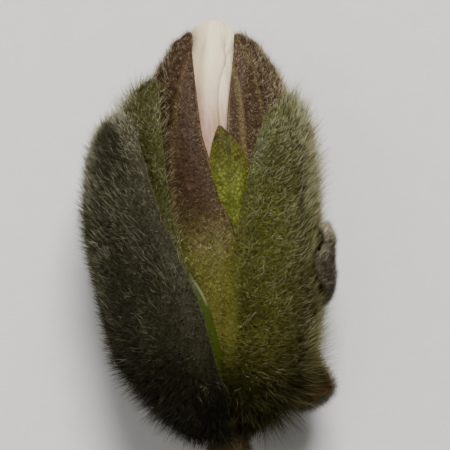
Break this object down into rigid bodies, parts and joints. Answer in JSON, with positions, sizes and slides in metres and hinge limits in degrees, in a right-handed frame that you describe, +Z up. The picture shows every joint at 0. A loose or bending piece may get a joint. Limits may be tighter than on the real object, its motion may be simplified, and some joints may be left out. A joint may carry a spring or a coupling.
{
  "type": "saucer magnolia flower bud on a cut twig",
  "caption": "Opening magnolia flower bud lying on its back: pale tepals inside split, silky-haired bud scales, with a young leaf and a short cut twig.",
  "frame": {"origin": "middle of the flat spot on the back of the bud, on which it rests, under its centre of mass", "axes": "+Y along the bud from the cut twig to the tip of the tepals, +Z up from the surface to the split front of the bud, +X to the bud's right seen from above"},
  "size_m": [0.0251, 0.067, 0.0201],
  "materials": {
    "tepal": "cream-white waxy tepals, tinted pink towards the foot and the edges, with fine veins",
    "brown_scale": "brown scale with short woolly tan hairs, turning yellow-green towards the foot",
    "green_scale": "olive green scale under long silky pale hairs",
    "grey_scale": "dark grey-olive scale under long silky pale hairs",
    "dry_scale": "withered papery brown, with pale wool on its outer side",
    "leaf": "fresh yellow-green, quilted between its veins, slightly glossy",
    "bark": "young brown bark with pale pores and short wool below the bud"
  },
  "bodies": {
    "root": {"twig": "bark", "tepal_front": "tepal", "tepal_left_back": "tepal", "tepal_right": "tepal", "inner_tepals": "tepal", "inner_scale": "brown_scale", "young_leaf": "leaf", "middle_scale": "green_scale", "outer_scale": "grey_scale", "dried_scale": "dry_scale"}
  },
  "joints": []
}
